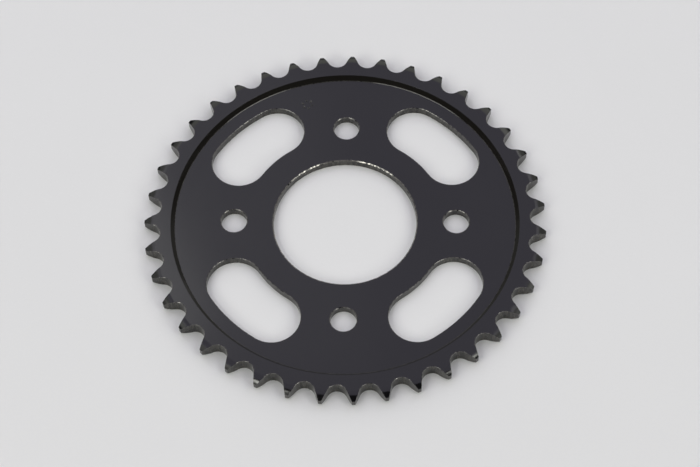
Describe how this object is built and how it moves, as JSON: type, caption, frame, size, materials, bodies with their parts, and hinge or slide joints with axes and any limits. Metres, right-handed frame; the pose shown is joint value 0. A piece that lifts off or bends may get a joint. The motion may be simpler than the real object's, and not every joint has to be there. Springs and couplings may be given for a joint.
{
  "type": "rear sprocket",
  "caption": "Flat black steel rear chain sprocket with a recessed disc, a round centre bore, a bolt circle and kidney-shaped lightening windows.",
  "frame": {"origin": "centre of the bore at the back face, the flat face that seats on the hub", "axes": "+Z along the spin axis, out of the recessed front face; the four bolt holes lie on +X, +Y, -X and -Y"},
  "size_m": [0.1623, 0.1624, 0.0059],
  "materials": {
    "black_steel": "satin black coating over machined steel"
  },
  "bodies": {
    "root": {"sprocket": "black_steel"}
  },
  "joints": []
}
